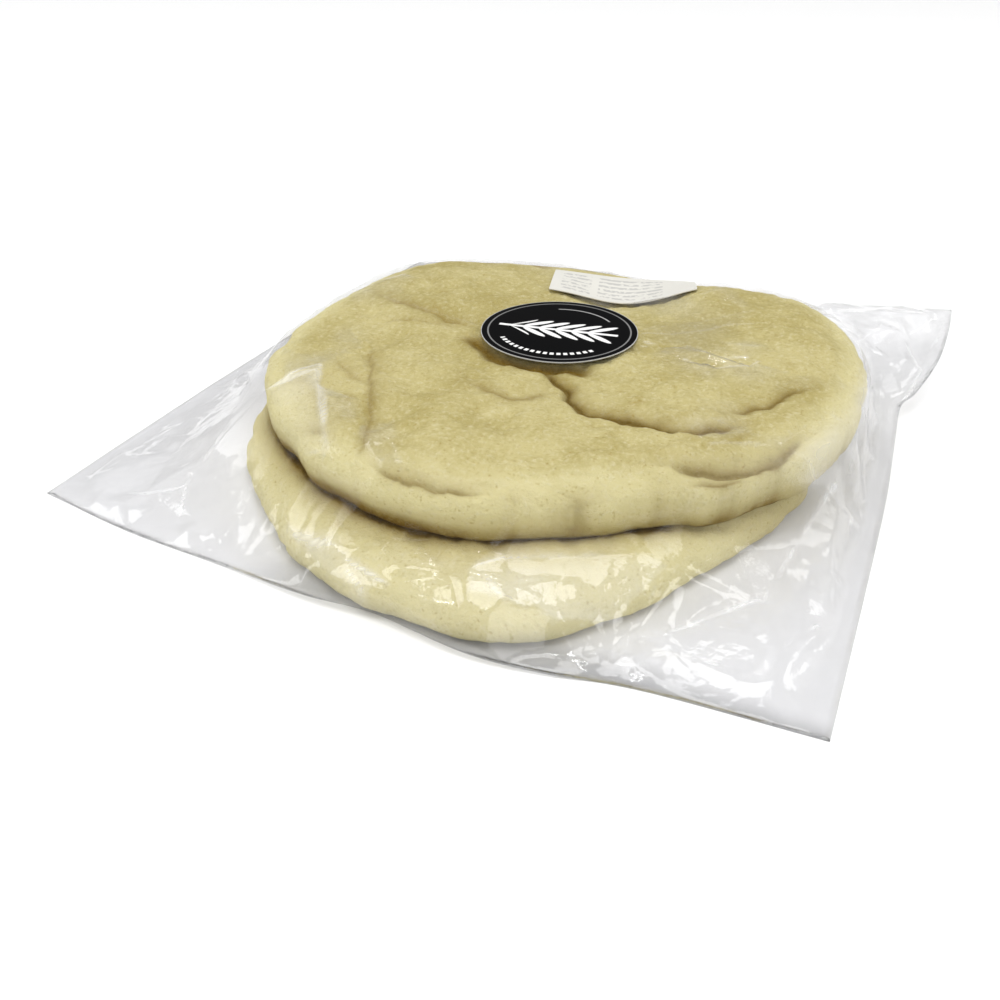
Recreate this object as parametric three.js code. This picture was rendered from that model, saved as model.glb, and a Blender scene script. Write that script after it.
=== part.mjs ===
// Two soft round pita breads in a clear flat bag, lying flat, one bread on the other.
// A round seal and a price label are stuck to the film over the upper bread.
// Units are millimetres, +Z is up and +X runs along the bag's front edge.

import * as THREE from 'three';

// ---- Driving sizes -------------------------------------------------------------------

const PITA_THICKNESS = 17;          // one bread, flattened by its own weight
const LOWER_TOP_HEIGHT = 15.6;      // the lower bread is pressed a little thinner
const UPPER_WIDEST_AT = 0.45;       // share of the thickness at which the upper rim is widest
const LOWER_WIDEST_AT = 0.29;       // the lower bread's rim sags towards the table
const UPPER_EDGE_ROUND = 16;        // width of the upper bread's rounded edge at the front
const UPPER_EDGE_ROUND_BACK = 35;   // and at the back, where the bread droops
const LOWER_EDGE_ROUND = 15;        // the lower bread is pressed flatter at its edge

const FILM_SKIRT = 1.5;             // height of the empty, flattened bag round the breads
const DRAPE_POWER = 2.4;            // how quickly the film falls from the bread to the table

const SEAL_DIAMETER = 57;
const SEAL_CENTRE = { x: 5, y: 7 };
const LABEL_LENGTH = 58;
const LABEL_DEPTH = 28;
const LABEL_CENTRE = { x: 8.6, y: 66.3 };
const LABEL_TURN = THREE.MathUtils.degToRad(17);
const PAPER_THICKNESS = 0.35;
const SEAL_CLEARANCE = 0.5;         // gap between the film and the seal
const LABEL_CLEARANCE = 0.6;        // gap between the film and the curved label
const PRESS_MARGIN = 7;             // ring round the seal over which the film flattens

// A bread's outline is a mean radius with a few slow waves: [waves a turn, height, phase in degrees].
const UPPER = {
  x: 8,
  y: -4,
  radius: 103.8,
  waves: [[1, 8.4, 106], [2, 2.2, 35], [3, 5.5, 52], [4, 3.2, 162], [5, 2.5, -93]],
};
const LOWER = {
  x: 8,
  y: -26,
  radius: 97.8,
  waves: [[1, 3.4, 167], [2, 1.0, 130], [3, 2.7, 127], [4, 2.9, 47], [5, 1.1, 90]],
};

// The upper bread's top leans slightly away from the front.
const TOP_HEIGHT = 34.4;
const TOP_SLOPE = 0.045;
const TOP_SLOPE_START = -25;
const TOP_LEAN = new THREE.Vector2(-0.43, 0.9);
const TOP_DROOP = 0.002;            // extra fall with the square of the distance past the start
const TOP_DROOP_START = 35;

// Soft swellings and hollows of the upper bread: centre, spread and height.
const LUMPS = [
  { x: 12, y: 58, spread: 20, height: -5 },
  { x: 46, y: 62, spread: 16, height: 3 },
  { x: -52, y: 20, spread: 30, height: 1.2 },
  { x: -62, y: -34, spread: 17, height: -1.6 },
  { x: 4, y: -62, spread: 26, height: 1.3 },
  { x: 56, y: -66, spread: 18, height: 1.6 },
  { x: 62, y: -22, spread: 17, height: 1.4 },
  { x: 78, y: 28, spread: 22, height: 1.2 },
  { x: -72, y: 58, spread: 40, height: 4.8 },
  { x: 80, y: 78, spread: 36, height: 4.5 },
];

// Folds pressed into the upper bread, each along a curve from, through and to a point.
const FOLDS = [
  { from: [13, -20], via: [22, -30], to: [33, -42], depth: 3.6, width: 5 },
  { from: [33, -42], via: [58, -48], to: [85, -32], depth: 3.0, width: 5.5 },
  { from: [76, -20], via: [88, -3], to: [102, 17], depth: 1.8, width: 4 },
  { from: [68, -52], via: [98, -48], to: [108, -14], depth: 2.4, width: 4 },
  { from: [-54, -30], via: [-34, -58], to: [-18, -101], depth: 2.4, width: 4 },
  { from: [-70, -37], via: [-56, -45], to: [-40, -51], depth: 1.6, width: 4 },
  { from: [-16, -91], via: [0, -100], to: [22, -94], depth: 2.0, width: 4 },
];
const FOLD_LIP = 0.35;              // the dough swells beside a fold by this share of its depth
const FOLD_LIP_SPREAD = 2.6;        // the swelling is this many fold widths wide
const FOLD_SAMPLES = 14;

// The bag's edge, side by side: corner and edge points [x, y, height above the table].
const BAG_SIDES = [
  {
    pieces: 38,
    points: [
      [-130, -117, 0], [-90, -122, 0], [-52, -123.5, 0.3], [-20, -126, 2], [4, -125, 3],
      [34, -127.5, 2], [56, -124.5, 0.8], [82, -118.5, 0], [130, -115, 0],
    ],
  },
  { pieces: 24, points: [[130, -115, 0], [129, -60, 0], [127.5, 0, 0], [125, 38, 1.5], [123.6, 60, 5]] },
  {
    pieces: 10,
    points: [[123.6, 60, 5], [127.5, 68, 8], [132.3, 87, 14], [133.2, 113, 16.5], [132.3, 131, 18]],
  },
  {
    pieces: 26,
    points: [[132.3, 131, 18], [96, 134, 12], [50, 134, 5], [0, 131, 1], [-60, 128, 0], [-120, 122, 0]],
  },
  { pieces: 28, points: [[-120, 122, 0], [-126, 60, 0], [-129, 0, 0], [-130, -60, 0], [-130, -117, 0]] },
];

// ---- Breads --------------------------------------------------------------------------

function outlineRadius(bread, angle) {
  let radius = bread.radius;
  for (const [count, height, phase] of bread.waves) {
    radius += height * Math.cos(count * angle - THREE.MathUtils.degToRad(phase));
  }
  return radius;
}

// Distance from a point to a bread's edge, positive inside the bread.
function insideBy(bread, x, y) {
  const dx = x - bread.x;
  const dy = y - bread.y;
  return outlineRadius(bread, Math.atan2(dy, dx)) - Math.hypot(dx, dy);
}

// Share of a bread's thickness at a distance inside its edge: a rounded rim, then level.
function edgeProfile(inside, round, widestAt) {
  const across = 1 - Math.min(Math.max(inside / round, 0), 1);
  return widestAt + (1 - widestAt) * Math.sqrt(1 - across * across);
}

function gauss(distance, spread) {
  return Math.exp(-((distance / spread) ** 2));
}

const foldLines = FOLDS.map((fold) => {
  const ends = [fold.from, fold.via, fold.to].map(([x, y]) => new THREE.Vector2(x, y));
  return new THREE.QuadraticBezierCurve(...ends).getPoints(FOLD_SAMPLES);
});

function distanceToLine(points, x, y) {
  let nearest = Infinity;
  for (let i = 0; i + 1 < points.length; i += 1) {
    const span = points[i + 1].clone().sub(points[i]);
    const along = ((x - points[i].x) * span.x + (y - points[i].y) * span.y) / span.lengthSq();
    const share = THREE.MathUtils.clamp(along, 0, 1);
    const dx = x - points[i].x - span.x * share;
    const dy = y - points[i].y - span.y * share;
    nearest = Math.min(nearest, Math.hypot(dx, dy));
  }
  return nearest;
}

// The smooth top of the upper bread, before its folds and its rounded edge.
function plateau(x, y) {
  const lean = (x - SEAL_CENTRE.x) * TOP_LEAN.x + (y - SEAL_CENTRE.y) * TOP_LEAN.y;
  const past = Math.max(lean - TOP_DROOP_START, 0);
  return TOP_HEIGHT - TOP_SLOPE * Math.max(lean, TOP_SLOPE_START) - TOP_DROOP * past * past;
}

function lumpHeight(x, y) {
  let height = 0;
  for (const lump of LUMPS) {
    height += lump.height * gauss(Math.hypot(x - lump.x, y - lump.y), lump.spread);
  }
  return height;
}

function foldHeight(x, y) {
  let height = 0;
  FOLDS.forEach((fold, index) => {
    const away = distanceToLine(foldLines[index], x, y);
    height -= fold.depth * (1 + FOLD_LIP) * gauss(away, fold.width);
    height += fold.depth * FOLD_LIP * gauss(away, fold.width * FOLD_LIP_SPREAD);
  });
  return height;
}

// The film lies flat under the seal, and follows the bread again beyond a narrow margin.
function sealPress(x, y) {
  const away = Math.hypot(x - SEAL_CENTRE.x, y - SEAL_CENTRE.y) - SEAL_DIAMETER / 2;
  return 1 - THREE.MathUtils.smoothstep(away, 1, PRESS_MARGIN);
}

function upperTop(x, y) {
  const loose = lumpHeight(x, y) + foldHeight(x, y);
  const top = plateau(x, y) + loose * (1 - sealPress(x, y));
  const back = THREE.MathUtils.smoothstep((y - UPPER.y) / UPPER.radius, 0, 0.8);
  const round = THREE.MathUtils.lerp(UPPER_EDGE_ROUND, UPPER_EDGE_ROUND_BACK, back);
  const share = edgeProfile(insideBy(UPPER, x, y), round, UPPER_WIDEST_AT);
  return PITA_THICKNESS + (top - PITA_THICKNESS) * share;
}

function lowerTop(x, y) {
  return LOWER_TOP_HEIGHT * edgeProfile(insideBy(LOWER, x, y), LOWER_EDGE_ROUND, LOWER_WIDEST_AT);
}

// ---- Bag -----------------------------------------------------------------------------

const STEP_WIDTH = 4;               // least width kept for the step between the breads
const LEAST_FILM = 2;               // least width of empty film outside the breads
const SHELF_FROM_TO = [1, 12];      // the lower bread shows as a shelf where it stands out so far
const WALL_SLOPE = 5;               // steepness of the film down the upper bread's side
const WALL_BLEND = 2;               // rounding of the corner between that side and the shelf
const LOWER_RIM = LOWER_TOP_HEIGHT * LOWER_WIDEST_AT;

const edgePoints = BAG_SIDES.flatMap(({ pieces, points }) => {
  const side = new THREE.CatmullRomCurve3(points.map((point) => new THREE.Vector3(...point)));
  const spaced = side.getSpacedPoints(pieces).slice(0, -1);
  return spaced.map(({ x, y, z }) => new THREE.Vector3(x, y, Math.max(z, 0)));
});

// Distance from the upper bread's centre, along a direction, to the lower bread's edge.
function lowerReach(dx, dy) {
  let near = 0;
  let far = 2 * LOWER.radius;
  for (let i = 0; i < 40; i += 1) {
    const middle = (near + far) / 2;
    if (insideBy(LOWER, UPPER.x + dx * middle, UPPER.y + dy * middle) > 0) {
      near = middle;
    } else {
      far = middle;
    }
  }
  return near;
}

// Each spoke runs from the upper bread's centre to one point of the bag's edge.
const spokes = edgePoints.map((edge) => {
  const reach = Math.hypot(edge.x - UPPER.x, edge.y - UPPER.y);
  const dx = (edge.x - UPPER.x) / reach;
  const dy = (edge.y - UPPER.y) / reach;
  const upper = outlineRadius(UPPER, Math.atan2(dy, dx));
  const lower = lowerReach(dx, dy);
  const bread = Math.min(Math.max(lower, upper + STEP_WIDTH), reach - LEAST_FILM);
  const rim = upperTop(UPPER.x + dx * upper, UPPER.y + dy * upper);
  return { edge, reach, dx, dy, upper, lower, bread, rim };
});

function smoothMax(a, b, blend) {
  const share = THREE.MathUtils.clamp(0.5 + (a - b) / (2 * blend), 0, 1);
  return b + (a - b) * share + blend * share * (1 - share);
}

// Height of the bag's upper side at a distance along a spoke. Where the lower bread
// stands out, the film lies on that shelf first; elsewhere it falls from the upper rim.
function bagTop(spoke, distance) {
  const x = UPPER.x + spoke.dx * distance;
  const y = UPPER.y + spoke.dy * distance;
  if (distance <= spoke.upper) {
    return upperTop(x, y);
  }
  const shelf = THREE.MathUtils.smoothstep(spoke.lower - spoke.upper, ...SHELF_FROM_TO);
  const leaves = THREE.MathUtils.lerp(spoke.upper, spoke.bread, shelf);
  const start = THREE.MathUtils.lerp(spoke.rim, LOWER_RIM, shelf);
  const out = THREE.MathUtils.clamp((distance - leaves) / (spoke.reach - leaves), 0, 1);
  const skirt = spoke.edge.z + FILM_SKIRT;
  const drape = skirt + (start - skirt) * (1 - out) ** DRAPE_POWER;
  const wall = spoke.rim - (distance - spoke.upper) * WALL_SLOPE;
  const ledge = distance < spoke.bread ? lowerTop(x, y) : 0;
  return Math.max(smoothMax(wall, ledge, WALL_BLEND), drape);
}

const INNER_RINGS = 13;
const UPPER_RIM_INSETS = [9, 5, 2, 0];
const SHELF_SHARES = [0.12, 0.3, 0.5, 0.7, 0.86, 1];
const DRAPE_SHARES = [0.1, 0.26, 0.48, 0.74, 1];
const UNDER_SHARES = [0.6, 0.2];

function ringDistances(spoke) {
  const level = spoke.upper - UPPER_EDGE_ROUND;
  const distances = [];
  for (let i = 1; i <= INNER_RINGS; i += 1) {
    distances.push((level * i) / INNER_RINGS);
  }
  UPPER_RIM_INSETS.forEach((inset) => distances.push(spoke.upper - inset));
  SHELF_SHARES.forEach((share) => distances.push(THREE.MathUtils.lerp(spoke.upper, spoke.bread, share)));
  DRAPE_SHARES.forEach((share) => distances.push(THREE.MathUtils.lerp(spoke.bread, spoke.reach, share)));
  return distances;
}

// A closed body from rings of points round a first and a last single point.
function closedRings(first, rings, last) {
  const count = rings[0].length;
  const vertices = [first, ...rings.flat(), last];
  const start = (ring) => 1 + ring * count;
  const triangles = [];
  for (let i = 0; i < count; i += 1) {
    const next = (i + 1) % count;
    triangles.push([0, start(0) + i, start(0) + next]);
    for (let ring = 0; ring + 1 < rings.length; ring += 1) {
      const a = start(ring) + i;
      const b = start(ring) + next;
      const c = start(ring + 1) + i;
      const d = start(ring + 1) + next;
      triangles.push([a, c, d], [a, d, b]);
    }
    const tail = start(rings.length - 1);
    triangles.push([vertices.length - 1, tail + next, tail + i]);
  }
  const geometry = new THREE.BufferGeometry();
  geometry.setAttribute('position', new THREE.Float32BufferAttribute(vertices.flat(), 3));
  geometry.setIndex(triangles.flat());
  geometry.computeVertexNormals();
  return geometry;
}

function bagGeometry() {
  const distances = spokes.map(ringDistances);
  const rings = distances[0].map((_, ring) => spokes.map((spoke, i) => {
    const distance = distances[i][ring];
    const height = bagTop(spoke, distance);
    return [UPPER.x + spoke.dx * distance, UPPER.y + spoke.dy * distance, height];
  }));
  rings.push(spokes.map(({ edge }) => [edge.x, edge.y, edge.z]));
  UNDER_SHARES.forEach((share) => rings.push(spokes.map((spoke) => {
    const distance = THREE.MathUtils.lerp(spoke.bread, spoke.reach, share);
    const lifted = spoke.edge.z * share * share;
    return [UPPER.x + spoke.dx * distance, UPPER.y + spoke.dy * distance, lifted];
  })));
  [1, 0.5].forEach((share) => rings.push(spokes.map((spoke) => [
    UPPER.x + spoke.dx * spoke.upper * share,
    UPPER.y + spoke.dy * spoke.upper * share,
    0,
  ])));
  const top = upperTop(UPPER.x, UPPER.y);
  return closedRings([UPPER.x, UPPER.y, top], rings, [UPPER.x, UPPER.y, 0]);
}

// ---- Seal and label ------------------------------------------------------------------

const SEAL_STEPS = 48;
const SEAL_RINGS = [0.35, 0.7, 1];

function sealGeometry() {
  const point = (radius, angle, lift) => {
    const x = SEAL_CENTRE.x + radius * Math.cos(angle);
    const y = SEAL_CENTRE.y + radius * Math.sin(angle);
    return [x, y, plateau(x, y) + lift];
  };
  const ring = (share, lift) => Array.from({ length: SEAL_STEPS }, (_, i) => (
    point((share * SEAL_DIAMETER) / 2, (2 * Math.PI * i) / SEAL_STEPS, lift)));
  const low = SEAL_CLEARANCE;
  const high = SEAL_CLEARANCE + PAPER_THICKNESS;
  const over = SEAL_RINGS.map((share) => ring(share, high));
  const under = SEAL_RINGS.toReversed().map((share) => ring(share, low));
  return closedRings(point(0, 0, high), [...over, ...under], point(0, 0, low));
}

const LABEL_COLUMNS = 18;
const LABEL_ROWS = 8;

// A flat box is laid on the bread, and each of its points rises to the film there.
function labelGeometry() {
  const geometry = new THREE.BoxGeometry(
    LABEL_LENGTH, LABEL_DEPTH, PAPER_THICKNESS, LABEL_COLUMNS, LABEL_ROWS, 1,
  );
  geometry.rotateZ(LABEL_TURN);
  geometry.translate(LABEL_CENTRE.x, LABEL_CENTRE.y, LABEL_CLEARANCE + PAPER_THICKNESS / 2);
  const position = geometry.getAttribute('position');
  for (let i = 0; i < position.count; i += 1) {
    const x = position.getX(i);
    const y = position.getY(i);
    position.setZ(i, position.getZ(i) + upperTop(x, y));
  }
  geometry.computeVertexNormals();
  return geometry;
}

// ---- Assembly ------------------------------------------------------------------------

function named(name, geometry, color, roughness) {
  const material = new THREE.MeshStandardMaterial({ color, roughness, metalness: 0 });
  const mesh = new THREE.Mesh(geometry, material);
  mesh.name = name;
  return mesh;
}

const group = new THREE.Group();
group.add(named('bag', bagGeometry(), 0xd0c695, 0.35));
group.add(named('seal', sealGeometry(), 0x0c0c0d, 0.25));
group.add(named('label', labelGeometry(), 0xededec, 0.6));

// The origin is under the middle of the whole, on the surface that it lies on.
const bounds = new THREE.Box3().setFromObject(group);
const middle = bounds.getCenter(new THREE.Vector3());
group.position.set(-middle.x, -middle.y, -bounds.min.z);

export default group;
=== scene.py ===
"""Two soft pita breads in a clear film bag, with a round seal and a paper label."""
import math

import bmesh
import bpy
import numpy as np
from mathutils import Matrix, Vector
from mathutils.geometry import delaunay_2d_cdt


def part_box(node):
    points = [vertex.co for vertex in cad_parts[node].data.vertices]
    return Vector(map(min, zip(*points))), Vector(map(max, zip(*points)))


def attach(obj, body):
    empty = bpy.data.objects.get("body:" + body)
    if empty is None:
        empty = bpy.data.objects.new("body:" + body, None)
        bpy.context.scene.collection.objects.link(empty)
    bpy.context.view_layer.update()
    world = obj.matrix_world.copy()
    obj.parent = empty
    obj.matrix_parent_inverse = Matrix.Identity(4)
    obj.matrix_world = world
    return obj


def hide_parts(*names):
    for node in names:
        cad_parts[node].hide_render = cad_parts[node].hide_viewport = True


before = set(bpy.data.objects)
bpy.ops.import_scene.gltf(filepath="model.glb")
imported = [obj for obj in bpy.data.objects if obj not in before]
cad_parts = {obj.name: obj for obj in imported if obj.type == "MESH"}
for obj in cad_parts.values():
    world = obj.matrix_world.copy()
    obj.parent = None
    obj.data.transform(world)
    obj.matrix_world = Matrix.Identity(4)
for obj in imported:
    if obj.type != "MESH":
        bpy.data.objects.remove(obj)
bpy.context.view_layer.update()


# ---- Lower bread ---------------------------------------------------------------------
# A soft flatbread baked pale, one round of wheat dough. It lies on the bag's underside,
# and the bread above presses it a little thinner.

MM = 0.001
SEAL_PLACE = np.array([5.0, 7.0])  # the seal's middle in the drawing that all places here follow


def drawing_origin():
    """Where the drawing's zero lies in the frame, in millimetres, from the seal's box."""
    low, high = (np.array(corner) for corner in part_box("seal"))
    middle = (low + high) / 2 / MM
    return np.array([middle[0] - SEAL_PLACE[0], middle[1] - SEAL_PLACE[1], 0.0])


ORIGIN = drawing_origin()

LOWER = {
    "middle": (8.0, -26.0),
    "radius": 97.0,
    # waves a turn, their height and where the first crest lies, in degrees
    "waves": ((1, 3.4, 167), (2, 1.0, 130), (3, 2.7, 127), (4, 2.9, 47), (5, 1.1, 90)),
    "widest": 0.29,  # share of the thickness at which the rim is widest
    "under": 4.5,  # how wide the rim's lower rounding is
}
LOWER_TOP = 15.6  # height of the bread's top
LOWER_ROUND = 15.0  # how wide the rim's upper rounding is
FRONT_LIMIT = -124.2  # the bag's front edge holds the bread back here
SKIN_DEPTH = 1.2  # how far the skin lies under the film on average
TABLE_GAP = 0.6  # room for the film under the bread
SKIN_WAVES = ((0.42, 26), (0.24, 9), (0.09, 3.6))  # height and length of dents, dimples and grain
SKIN_RIM = 7.0  # the skin thins out over this width at the rim
RIM_DENT = 0.55  # how deep the dents round the rim are on average
DENT_REACH = (2, 14)  # they fade out between these distances inside the rim
DENT_WAVES = ((0.45, 15), (0.25, 6))
DENT_SLANT = 1.6  # how fast they change towards the inside, against along the rim
RIM_UNROLLED = 100.0  # the round on which patterns along the rim are drawn
WOBBLE = (0.5, 30)  # height and length of the outline's own unevenness
WOBBLE_MOST = 0.6
SPOKES = 456
TOP_RINGS = 170
UNDER_RINGS = 28


def smoothstep(value, low, high):
    """0 below low and 1 above high, with soft ends."""
    share = np.clip((value - low) / (high - low), 0, 1)
    return share * share * (3 - 2 * share)


def mix(a, b, share):
    """a where the share is 0, b where it is 1."""
    return a + (b - a) * share


def ripple(x, y, length, seed, count=36):
    """A soft random surface of height about 1: many plane waves about one length long."""
    draw = np.random.default_rng(seed)
    heading = draw.uniform(0, 2 * math.pi, count)
    shortest, longest = 0.7, 1.5
    number = 2 * math.pi / (length * draw.uniform(shortest, longest, count))
    phase = draw.uniform(0, 2 * math.pi, count)
    total = np.zeros(np.broadcast(x, y).shape)
    for h, n, p in zip(heading, number, phase):
        total += np.cos(n * (x * math.cos(h) + y * math.sin(h)) + p)
    return total / math.sqrt(count / 2)


def ripples(waves, x, y, seed, count=36):
    """Ripples on each other, each given by its height and length, with seeds in a row."""
    return sum(height * ripple(x, y, length, seed + i, count) for i, (height, length) in enumerate(waves))


def outline_radius(bread, angle):
    """How far a bread's edge lies from its middle in a direction."""
    radius = bread["radius"] + 0 * angle
    for count, height, phase in bread["waves"]:
        radius = radius + height * np.cos(count * angle - math.radians(phase))
    return radius


def from_middle(bread, x, y):
    """Direction and distance from a bread's middle."""
    dx, dy = x - bread["middle"][0], y - bread["middle"][1]
    return np.arctan2(dy, dx), np.hypot(dx, dy)


def inside_by(bread, x, y):
    """Distance inside a bread's edge, negative outside."""
    angle, away = from_middle(bread, x, y)
    return outline_radius(bread, angle) - away


def edge_profile(inside, width, widest):
    """A rounded edge: its height as a share of the top's, from the widest place inwards."""
    across = 1 - np.clip(inside / width, 0, 1)
    return widest + (1 - widest) * np.sqrt(1 - across ** 2)


def lower_top(x, y, inside):
    return LOWER_TOP * edge_profile(inside, LOWER_ROUND, LOWER["widest"])


def crumb_skin(x, y, seed):
    """The fine unevenness of a baked skin, which stays half a millimetre clear of the film."""
    return np.minimum(ripples(SKIN_WAVES, x, y, seed), SKIN_DEPTH - 0.5)


def mesh_piece(name, vertices, faces):
    """A smooth mesh object from drawing millimetres, placed in the frame."""
    mesh = bpy.data.meshes.new(name)
    placed = (np.asarray(vertices) + ORIGIN) * MM
    mesh.from_pydata(placed.tolist(), [], faces)
    mesh.update()
    mesh.polygons.foreach_set("use_smooth", [True] * len(mesh.polygons))
    piece = bpy.data.objects.new(name, mesh)
    bpy.context.scene.collection.objects.link(piece)
    return piece


def ring_faces(rings, count):
    """Faces of a closed body: a first point, rings of count points, and a last point."""
    faces = []
    for i in range(count):
        j = (i + 1) % count
        faces.append((0, 1 + i, 1 + j))
        for ring in range(rings - 1):
            a = 1 + ring * count
            b = a + count
            faces.append((a + i, b + i, b + j, a + j))
        tail = 1 + (rings - 1) * count
        faces.append((1 + rings * count, tail + j, tail + i))
    return faces


def rim_dent(outward, inside, way, seed):
    """How far the rim is dented inwards, above the widest place with way 1 and below it with -1."""
    x, y = RIM_UNROLLED * outward.T + DENT_SLANT * way * inside
    wrinkles = ripples(DENT_WAVES, x, y, seed + 7)
    return RIM_DENT * (1 - smoothstep(inside, *DENT_REACH)) * np.clip(0.7 + wrinkles, 0, 2)


def bread_body(name, bread, top, base, seed):
    """A closed bread: its top from the middle out, round the rim and back under."""
    angle = np.linspace(0, 2 * math.pi, SPOKES, endpoint=False)
    height, length = WOBBLE
    wobble = height * ripple(np.cos(angle) * RIM_UNROLLED, np.sin(angle) * RIM_UNROLLED, length, seed + 5)
    reach = outline_radius(bread, angle) + np.minimum(wobble, WOBBLE_MOST)
    forward = np.maximum(-np.sin(angle), 1e-3)
    reach = np.minimum(reach, (bread["middle"][1] - FRONT_LIMIT) / forward)
    over = np.sin(np.linspace(0, math.pi / 2, TOP_RINGS + 1)[1:])
    under = np.sin(np.linspace(math.pi / 2, 0, UNDER_RINGS + 1)[1:-1])
    middle = np.array(bread["middle"], float)
    outward = np.stack([np.cos(angle), np.sin(angle)], 1)

    def at(away):
        return (middle + outward * away[:, None]).T

    rows = []
    for share in over:
        inside = reach * (1 - share)
        x, y = at(reach * share)
        skin = smoothstep(inside, 0, SKIN_RIM) * (crumb_skin(x, y, seed) - SKIN_DEPTH)
        height = top(x, y, inside) + skin
        x, y = at(reach * share - rim_dent(outward, inside, 1, seed))
        rows.append(np.stack([x, y, height], 1))
    rim = rows[-1][:, 2]
    for share in under:
        inside = reach * (1 - share)
        x, y = at(reach * share - rim_dent(outward, inside, -1, seed))
        across = 1 - np.clip(inside / bread["under"], 0, 1)
        bottom = base(x, y)
        rows.append(np.stack([x, y, bottom + (rim - bottom) * (1 - np.sqrt(1 - across ** 2))], 1))
    first = [[*middle, float(rows[0][:, 2].mean())]]
    last = [[*middle, float(rows[-1][:, 2].mean())]]
    return mesh_piece(name, np.vstack([first, *rows, last]), ring_faces(len(rows), SPOKES))


def add_attribute(piece, name, values):
    """Numbers for the piece's paint, one for each vertex."""
    layer = piece.data.attributes.new(name, "FLOAT", "POINT")
    layer.data.foreach_set("value", np.asarray(values, dtype=np.float32))


def drawing_points(piece):
    """A piece's vertices, back in drawing millimetres."""
    points = np.empty(len(piece.data.vertices) * 3)
    piece.data.vertices.foreach_get("co", points)
    return points.reshape(-1, 3) / MM - ORIGIN


def shader_math(operation, turned=False):
    """A method of Field: a sum of the value and another, or of the other and the value."""
    def method(self, other=0.0):
        pair = (other, self) if turned else (self, other)
        made = self.paint.node("Math", dict(enumerate(pair)), operation=operation)
        return Field(self.paint, made.outputs[0])
    return method


class Field:
    """A shader value that can stand in an expression."""

    def __init__(self, paint, socket):
        self.paint = paint
        self.socket = socket

    __add__ = __radd__ = shader_math("ADD")
    __sub__ = shader_math("SUBTRACT")
    __rsub__ = shader_math("SUBTRACT", turned=True)
    __mul__ = __rmul__ = shader_math("MULTIPLY")
    __pow__ = shader_math("POWER")
    size = shader_math("ABSOLUTE")  # the value without its sign
    fraction = shader_math("FRACT")
    either = shader_math("MAXIMUM")  # the larger of two
    turn_from = shader_math("ARCTAN2")  # the angle whose tangent is this over the other

    def within(self, half, soft=0.2):
        """1 where the value lies within half of zero, with soft ends."""
        return self.size().ramp(half + soft, half - soft)

    def ramp(self, low, high):
        """0 below low and 1 above high, or the other way round, with soft ends."""
        values = {"Value": self, "From Min": low, "From Max": high}
        made = self.paint.node("MapRange", values, interpolation_type="SMOOTHSTEP", clamp=True)
        return Field(self.paint, made.outputs["Result"])


def turned_axes(x, y, turn):
    """A place on axes turned by an angle."""
    cos, sin = math.cos(turn), math.sin(turn)
    return x * cos + y * sin, y * cos - x * sin


class Paint:
    """One material's or world's nodes. A material's patterns stand still in its object's space."""

    def __init__(self, name, kind="materials", place="Object"):
        self.owner = getattr(bpy.data, kind).new(name)
        self.owner.use_nodes = True
        self.tree = self.owner.node_tree
        self.tree.nodes.clear()
        self.place = self.node("TexCoord").outputs[place]

    def node(self, kind, values=None, **settings):
        """A shader node with its settings, then its sockets' values or links."""
        made = self.tree.nodes.new("ShaderNode" + kind)
        for key, value in settings.items():
            setattr(made, key, value)
        for key, value in (values or {}).items():
            source = value.socket if isinstance(value, Field) else value
            if isinstance(source, bpy.types.NodeSocket):
                self.tree.links.new(source, made.inputs[key])
            else:
                made.inputs[key].default_value = source
        return made

    def noise(self, size_mm, detail=3.0, roughness=0.5):
        """Random spots about size_mm across, from 0 to 1."""
        values = {"Vector": self.place, "Scale": 1 / (size_mm * MM)}
        values |= {"Detail": detail, "Roughness": roughness}
        return Field(self, self.node("TexNoise", values).outputs["Fac"])

    def plane(self, middle, turn):
        """Places on a flat piece, in millimetres along and across it from its middle."""
        split = self.node("SeparateXYZ", {0: self.place})
        centre = (np.append(middle, 0) + ORIGIN) * MM
        x = (Field(self, split.outputs[0]) - float(centre[0])) * (1 / MM)
        y = (Field(self, split.outputs[1]) - float(centre[1])) * (1 / MM)
        return turned_axes(x, y, turn)

    def attribute(self, name):
        """The number that add_attribute put on the vertices."""
        return Field(self, self.node("Attribute", attribute_name=name).outputs["Fac"])

    def blend(self, share, first, second):
        """A colour between two, by share."""
        values = {0: share, 6: first, 7: second}
        return self.node("Mix", values, data_type="RGBA").outputs[2]

    def bump(self, height, depth_mm):
        values = {"Height": height, "Distance": depth_mm * MM, "Strength": 1.0}
        return self.node("Bump", values).outputs["Normal"]

    def surface(self, base, roughness, values=None):
        """A solid surface's shader, by its colour, roughness and other values."""
        values = {"Base Color": base, "Roughness": roughness} | (values or {})
        return self.node("BsdfPrincipled", values).outputs[0]

    def finish(self, shader):
        """The material with this shader on its surface."""
        output = self.node("OutputMaterial", {"Surface": shader})
        self.tree.nodes.active = output
        return self.owner


def coat(piece, material):
    """Gives a piece this material in place of any other."""
    piece.data.materials.clear()
    piece.data.materials.append(material)


def colour(red, green, blue):
    """A colour given as 0-255 screen values, as the shader's linear numbers."""
    shares = [value / 255 for value in (red, green, blue)]
    linear = [s / 12.92 if s <= 0.04045 else ((s + 0.055) / 1.055) ** 2.4 for s in shares]
    return (*linear, 1.0)


BREAD_PALE = colour(204, 192, 136)
BREAD_DEEP = colour(180, 166, 105)
# The crease colour serves both the small dark specks and the painted shade of creases and gaps; the deepest
# one is painted shade only.
BREAD_SPECK_AND_SHADE = colour(122, 94, 6)
BREAD_DEEPEST_SHADE = colour(90, 68, 1)
BREAD_TOAST = colour(160, 134, 56)
BREAD_RIM = colour(224, 215, 163)
BREAD_FLOUR = colour(226, 219, 184)
BUMP_DEPTH = 0.9  # how deep the painted grain looks, in millimetres


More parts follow.
